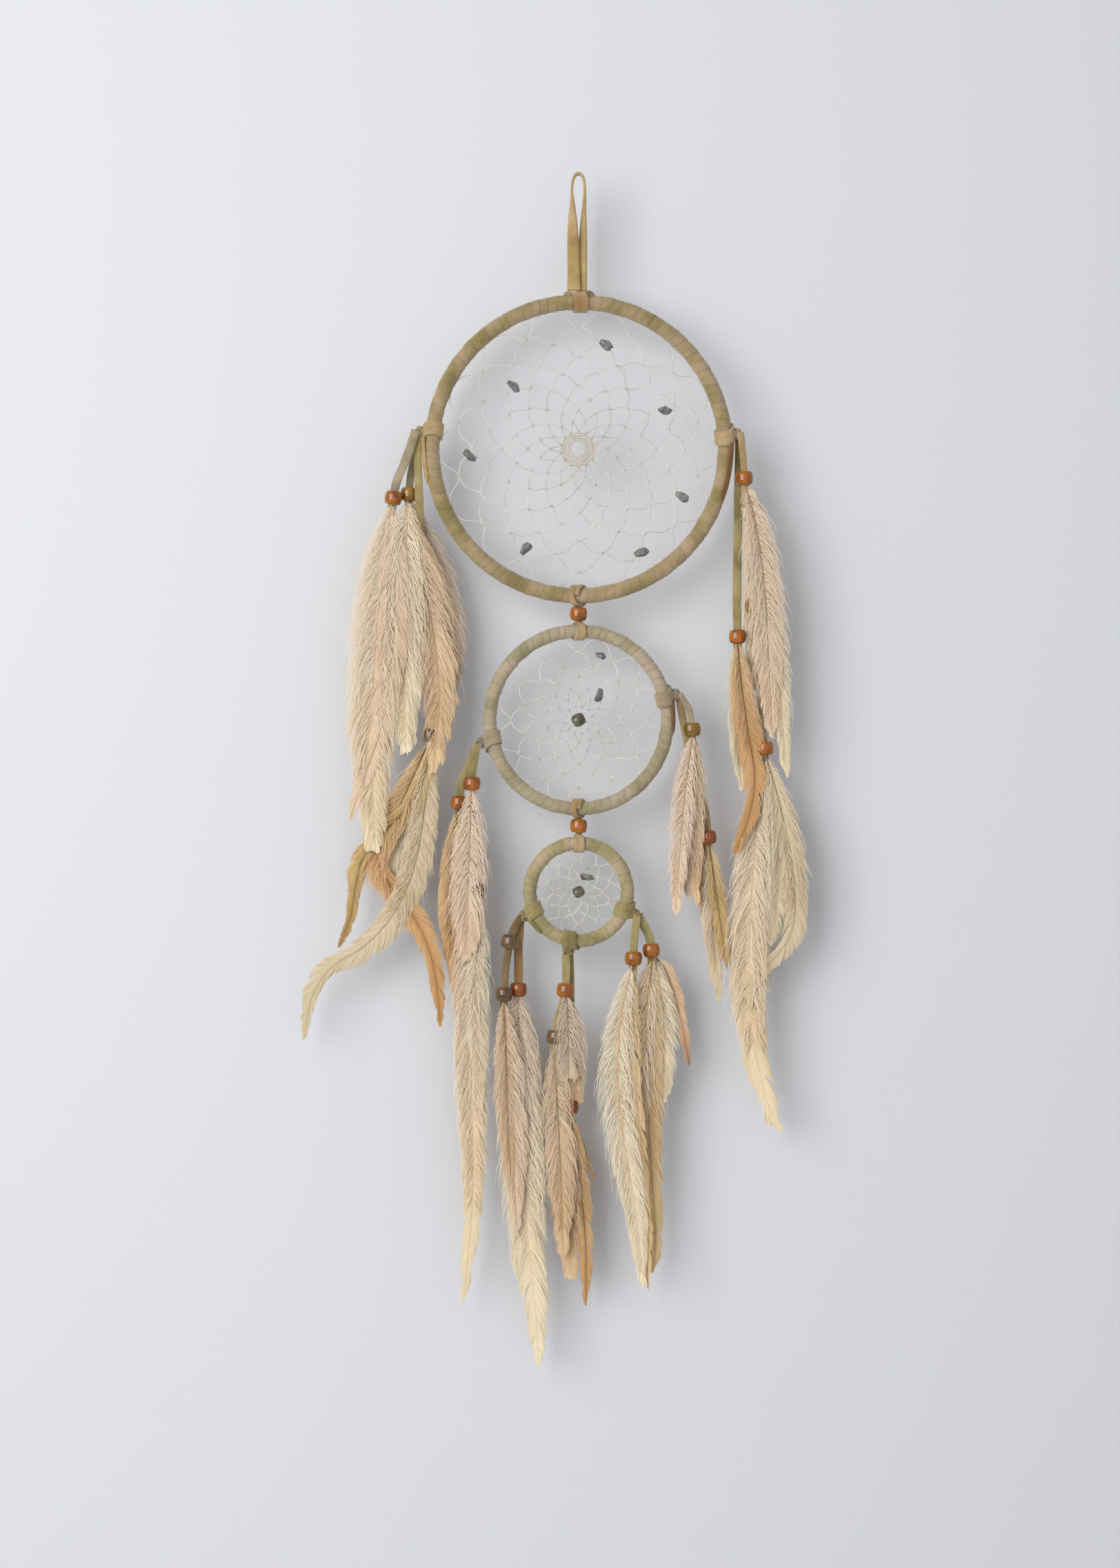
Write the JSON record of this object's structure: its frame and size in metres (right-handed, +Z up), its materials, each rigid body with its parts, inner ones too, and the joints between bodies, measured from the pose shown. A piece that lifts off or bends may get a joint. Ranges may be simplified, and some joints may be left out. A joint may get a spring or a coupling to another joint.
{
  "type": "dream catcher",
  "caption": "Hanging dream catcher: rings wrapped in suede, one below another, with thread webs, stone chips, and laces that carry amber beads and soft feathers.",
  "frame": {"origin": "the inside top of the hanging loop, where it rests on its nail", "axes": "+Z up, +X to the right seen from the front, +Y back to the wall; the rings lie in the XZ plane"},
  "size_m": [0.2606, 0.0162, 0.6204],
  "materials": {
    "suede_lace": "napped suede",
    "suede_wrap": "napped suede, wound in turns",
    "hoop_wire": "drawn wire",
    "web_thread": "waxed thread",
    "stone": "tumbled, semi gloss",
    "amber_bead": "glossy translucent amber",
    "centre_bead": "glossy dark olive",
    "feather": "soft barbs and down"
  },
  "bodies": {
    "hang_loop": {"hang_lace": "suede_lace", "hang_wrap": "suede_lace"},
    "big_hoop": {"big_hoop_core": "hoop_wire", "big_hoop_wrap": "suede_wrap", "big_web": "web_thread", "big_stones": "stone", "big_ties": "suede_lace"},
    "upper_link": {"upper_link_lace": "suede_lace", "upper_link_bead": "amber_bead"},
    "mid_hoop": {"mid_hanger_lace": "suede_lace", "mid_hoop_core": "hoop_wire", "mid_hoop_wrap": "suede_wrap", "mid_web": "web_thread", "mid_stones": "stone", "mid_ties": "suede_lace", "mid_centre_bead": "centre_bead"},
    "lower_link": {"lower_link_lace": "suede_lace", "lower_link_bead": "amber_bead"},
    "small_hoop": {"small_hanger_lace": "suede_lace", "small_hoop_core": "hoop_wire", "small_hoop_wrap": "suede_wrap", "small_web": "web_thread", "small_stones": "stone", "small_ties": "suede_lace", "small_centre_bead": "centre_bead"},
    "big_left_tassel": {"big_left_lace_a": "suede_lace", "big_left_lace_b": "suede_lace", "big_left_lace_c": "suede_lace", "big_left_beads": "amber_bead", "big_left_feathers": "feather", "big_left_low_feathers": "feather"},
    "big_right_tassel": {"big_right_lace_a": "suede_lace", "big_right_lace_b": "suede_lace", "big_right_lace_c": "suede_lace", "big_right_beads": "amber_bead", "big_right_feathers": "feather", "big_right_low_feathers": "feather"},
    "mid_left_tassel": {"mid_left_lace_a": "suede_lace", "mid_left_lace_b": "suede_lace", "mid_left_beads": "amber_bead", "mid_left_feathers": "feather"},
    "mid_right_tassel": {"mid_right_lace_a": "suede_lace", "mid_right_lace_b": "suede_lace", "mid_right_beads": "amber_bead", "mid_right_feathers": "feather"},
    "small_left_tassel": {"small_left_lace_a": "suede_lace", "small_left_lace_b": "suede_lace", "small_left_beads": "amber_bead", "small_left_feathers": "feather"},
    "small_bottom_tassel": {"small_bottom_lace_a": "suede_lace", "small_bottom_lace_b": "suede_lace", "small_bottom_beads": "amber_bead", "small_bottom_feathers": "feather"},
    "small_right_tassel": {"small_right_lace_a": "suede_lace", "small_right_lace_b": "suede_lace", "small_right_beads": "amber_bead", "small_right_feathers": "feather"}
  },
  "joints": [
    {"name": "big_hoop_swing", "type": "hinge", "parent": "hang_loop", "child": "big_hoop", "pos_m": [0, 0, -0.0654], "axis": [1, 0, 0], "range_deg": [-15, 0]},
    {"name": "upper_link_swing", "type": "hinge", "parent": "big_hoop", "child": "upper_link", "pos_m": [0, 0, -0.2174], "axis": [1, 0, 0], "range_deg": [-15, 0]},
    {"name": "mid_hoop_twist", "type": "hinge", "parent": "upper_link", "child": "mid_hoop", "pos_m": [0, 0, -0.2268], "axis": [0, 0, 1], "range_deg": [-12, 12]},
    {"name": "lower_link_swing", "type": "hinge", "parent": "mid_hoop", "child": "lower_link", "pos_m": [0, 0, -0.3277], "axis": [1, 0, 0], "range_deg": [-10, 0]},
    {"name": "small_hoop_twist", "type": "hinge", "parent": "lower_link", "child": "small_hoop", "pos_m": [0, 0, -0.3366], "axis": [0, 0, 1], "range_deg": [-12, 12]},
    {"name": "big_left_tassel_swing", "type": "hinge", "parent": "big_hoop", "child": "big_left_tassel", "pos_m": [-0.0838, 0, -0.132], "axis": [1, 0, 0], "range_deg": [-20, 0]},
    {"name": "big_right_tassel_swing", "type": "hinge", "parent": "big_hoop", "child": "big_right_tassel", "pos_m": [0.084, 0, -0.1335], "axis": [1, 0, 0], "range_deg": [-20, 0]},
    {"name": "mid_left_tassel_swing", "type": "hinge", "parent": "mid_hoop", "child": "mid_left_tassel", "pos_m": [-0.0524, 0, -0.294], "axis": [1, 0, 0], "range_deg": [-20, 0]},
    {"name": "mid_right_tassel_swing", "type": "hinge", "parent": "mid_hoop", "child": "mid_right_tassel", "pos_m": [0.0521, 0, -0.268], "axis": [1, 0, 0], "range_deg": [-20, 0]},
    {"name": "small_left_tassel_swing", "type": "hinge", "parent": "small_hoop", "child": "small_left_tassel", "pos_m": [-0.0301, 0, -0.384], "axis": [1, 0, 0], "range_deg": [-20, 0]},
    {"name": "small_bottom_tassel_swing", "type": "hinge", "parent": "small_hoop", "child": "small_bottom_tassel", "pos_m": [-0.0056, 0, -0.403], "axis": [1, 0, 0], "range_deg": [-20, 0]},
    {"name": "small_right_tassel_swing", "type": "hinge", "parent": "small_hoop", "child": "small_right_tassel", "pos_m": [0.0306, 0, -0.3825], "axis": [1, 0, 0], "range_deg": [-20, 0]}
  ]
}
